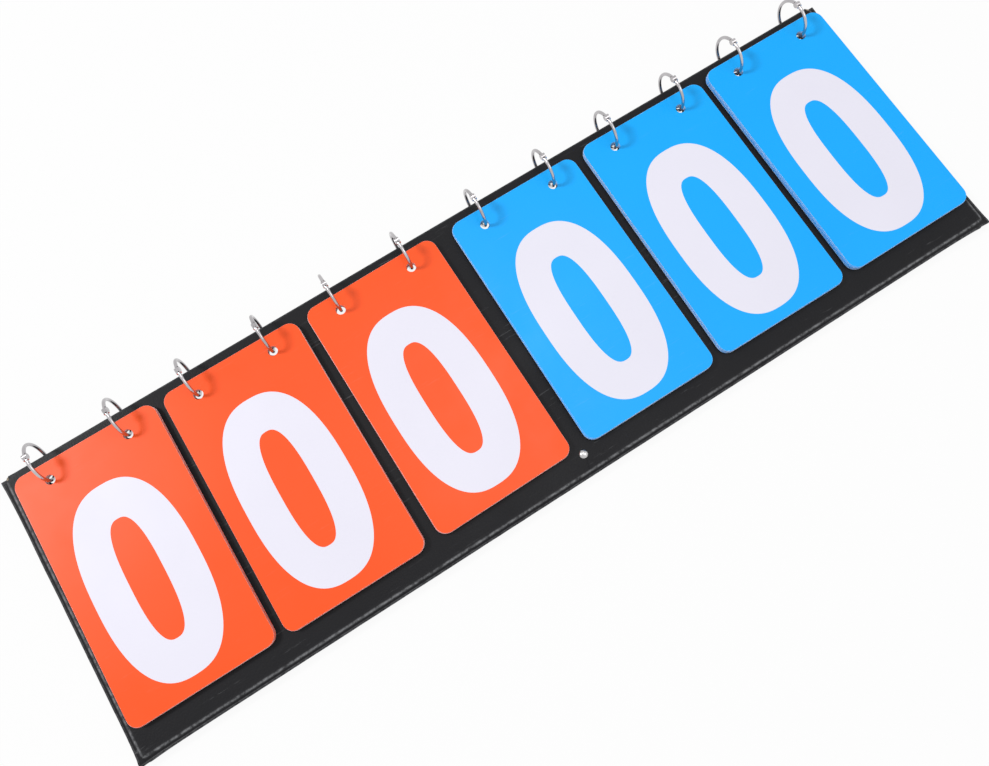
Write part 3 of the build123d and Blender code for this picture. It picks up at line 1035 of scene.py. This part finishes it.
def add_weld_ribs():
    """The knurled weld line that runs round three sides of each cover."""
    tree = rib_tree()
    sizes = {label: value * MM for label, value in RIB_SIZES.items()}
    for node, body, name in (("front_cover", "front_board", "front_board_weld"),
                             ("leg_cover", "stand_leg", "stand_leg_weld")):
        cover = Cover(node, [], [])
        line = inward(cover.loop[:cover.welded_count], WELD_INSET)[4:-4]
        points = []
        for x, y in line:
            wave = cover.ripple(x, y, 0.0, True)[1]
            points.append((x * MM, y * MM, (cover.middle + wave) * MM))
        obj = along_path(name, points, tree, {**sizes, "Material": COVER_VINYL})
        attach(obj, body)


# ---------------------------------------------------------------- the hinge strip

def strip_face(foot, axis_y, axis_z, reach):
    """One face of the folded strip: up its front ply, round the bend and down its back ply."""
    rows, bend_steps = 12, 16
    points = [(foot + (axis_y - foot) * step / rows, axis_z + reach) for step in range(rows + 1)]
    for step in range(1, bend_steps):
        turn = math.pi / 2 - math.pi * step / bend_steps
        points.append((axis_y + reach * math.cos(turn), axis_z + reach * math.sin(turn)))
    points += [(axis_y + (foot - axis_y) * step / rows, axis_z - reach) for step in range(rows + 1)]
    return points


def add_hinge_strip():
    """One folded vinyl strip, welded under the front board and over the leg."""
    front_low, front_high = (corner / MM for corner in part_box("hinge_strip_front"))
    leg_low, leg_high = (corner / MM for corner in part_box("hinge_strip_leg"))
    thickness = leg_high.z - leg_low.z
    axis_y = leg_high.y
    axis_z = (front_high.z + leg_low.z) / 2
    outer = front_high.z - axis_z
    inner = outer - thickness
    foot = leg_low.y
    section = strip_face(foot, axis_y, axis_z, outer) + strip_face(foot, axis_y, axis_z, inner)[::-1]
    half = (leg_high.x - leg_low.x) / 2
    stations, weld_inset = 70, 4.0
    vertices, faces, bends = [], [], []
    count = len(section)
    for station in range(stations + 1):
        x = half * (2 * station / stations - 1)
        for y, z in section:
            frayed = 0.12 * noise.noise(Vector((x / 9, 5.0, z))) if y < foot + 0.1 else 0.0
            vertices.append((x, y + abs(frayed), z))
            # A painted highlight with some wear: pale along the strip's cut foot and its weld line.
            bends.append(max(0.7 * hump(y, foot, 0.8), 0.5 * hump(y - foot, weld_inset, 0.7)))
    for station in range(stations):
        for i in range(count):
            j = (i + 1) % count
            a, b = station * count, (station + 1) * count
            faces.append((a + i, a + j, b + j, b + i))
    faces.append(tuple(range(count)))
    faces.append(tuple(stations * count + i for i in reversed(range(count))))
    mesh = clean_mesh("hinge_strip_vinyl", vertices, faces, values=bends)
    obj = piece("hinge_strip_vinyl", mesh, [STRIP_VINYL], 40.0)
    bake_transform(obj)
    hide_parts("hinge_strip_front", "hinge_strip_leg")


# ---------------------------------------------------------------- carried CAD nodes

def finish_cad_nodes():
    """The board cores, the rings with their gates and the snap keep their CAD shapes."""
    finishes = {"front_core": CORE_BOARD, "leg_core": CORE_BOARD, "snap_cap": SNAP_METAL,
                "snap_socket": SNAP_METAL, "snap_stud": SNAP_METAL}
    for deck in DECKS:
        for part in ("rings", "gate_left", "gate_right"):
            finishes[f"{deck}_{part}"] = RING_METAL
    for node, made in finishes.items():
        for slot in frame["nodes"][node].material_slots:
            slot.material = made


# ---------------------------------------------------------------- floor, light, camera

def seen_plainly(nodes):
    """1 for the rays that show the backdrop: the camera's, and those of reflections and glass."""
    light = nodes.add("ShaderNodeLightPath")
    seen = nodes.maths("MAXIMUM", light.outputs["Is Camera Ray"], light.outputs["Is Glossy Ray"])
    return nodes.maths("MAXIMUM", seen, light.outputs["Is Transmission Ray"])


def add_floor():
    """A white floor that keeps a soft shadow."""
    size, drop, glow = 6.0, 0.0001, 0.92
    mesh = bpy.data.meshes.new("studio_floor")
    corners = [(x * size, y * size, -drop) for x, y in ((-1, -1), (1, -1), (1, 1), (-1, 1))]
    mesh.from_pydata(corners, [], [(0, 1, 2, 3)])
    made, nodes, shader = material("white_floor", {"Base Color": (0.8, 0.8, 0.8, 1.0), "Roughness": 1.0,
                                                   "Specular IOR Level": 0.0})
    white = nodes.add("ShaderNodeEmission", {"Color": (1, 1, 1, 1), "Strength": 1.0})
    share = nodes.maths("MULTIPLY", seen_plainly(nodes), glow)
    mixed = nodes.add("ShaderNodeMixShader", {0: share})
    nodes.put(mixed, 1, shader.outputs[0])
    nodes.put(mixed, 2, white.outputs[0])
    nodes.put(made.node_tree.nodes["Material Output"], "Surface", mixed.outputs[0])
    floor = bpy.data.objects.new("studio_floor", mesh)
    mesh.materials.append(made)
    bpy.context.scene.collection.objects.link(floor)


def set_world(level):
    """Even pale light all round, white where it is seen."""
    world = bpy.data.worlds.new("studio")
    bpy.context.scene.world = world
    world.use_nodes = True
    nodes = Nodes(world.node_tree)
    background = world.node_tree.nodes["Background"]
    strength = nodes.span(seen_plainly(nodes), 0.0, 1.0, level, 1.0)
    nodes.put(background, "Color", (1, 1, 1, 1))
    nodes.put(background, "Strength", strength)


def add_lamp(name, place, target, size, watts):
    """A square soft lamp turned to a point."""
    data = bpy.data.lights.new(name, "AREA")
    data.shape = "SQUARE"
    data.size = size
    data.energy = watts
    lamp = bpy.data.objects.new(name, data)
    lamp.location = place
    lamp.rotation_mode = "QUATERNION"
    lamp.rotation_quaternion = (Vector(target) - Vector(place)).to_track_quat("-Z", "Y")
    bpy.context.scene.collection.objects.link(lamp)


def add_camera():
    """The photograph's view: 27.6 mm on a 36 mm sensor, close above the board."""
    data = bpy.data.cameras.new("camera")
    data.sensor_fit = "HORIZONTAL"
    data.sensor_width = 36.0
    data.lens = 27.57
    data.clip_start, data.clip_end = 0.01, 50.0
    right = Vector((0.846024, -0.533071, -0.008822))
    up = Vector((0.522805, 0.826261, 0.209686))
    back = right.cross(up)
    turn = Matrix((right, up, back)).transposed().to_4x4()
    camera = bpy.data.objects.new("camera", data)
    camera.matrix_world = Matrix.Translation((-0.0651, -0.0814, 0.4351)) @ turn
    bpy.context.scene.collection.objects.link(camera)
    bpy.context.scene.camera = camera


add_camera()
add_floor()
set_world(0.42)
add_lamp("key_lamp", (-1.45, 1.05, 1.75), (0.0, 0.0, 0.0), 0.5, 31.0)
add_lamp("fill_lamp", (0.9, -0.7, 1.5), (0.05, 0.0, 0.0), 1.0, 5.5)
add_lamp("top_lamp", (0.12, 0.24, 1.5), (0.0, 0.0, 0.0), 0.5, 4.0)
bpy.context.scene.view_settings.view_transform = "Standard"

for deck_name in DECKS:
    add_leaves(deck_name)
add_covers()
add_weld_ribs()
add_hinge_strip()
finish_cad_nodes()
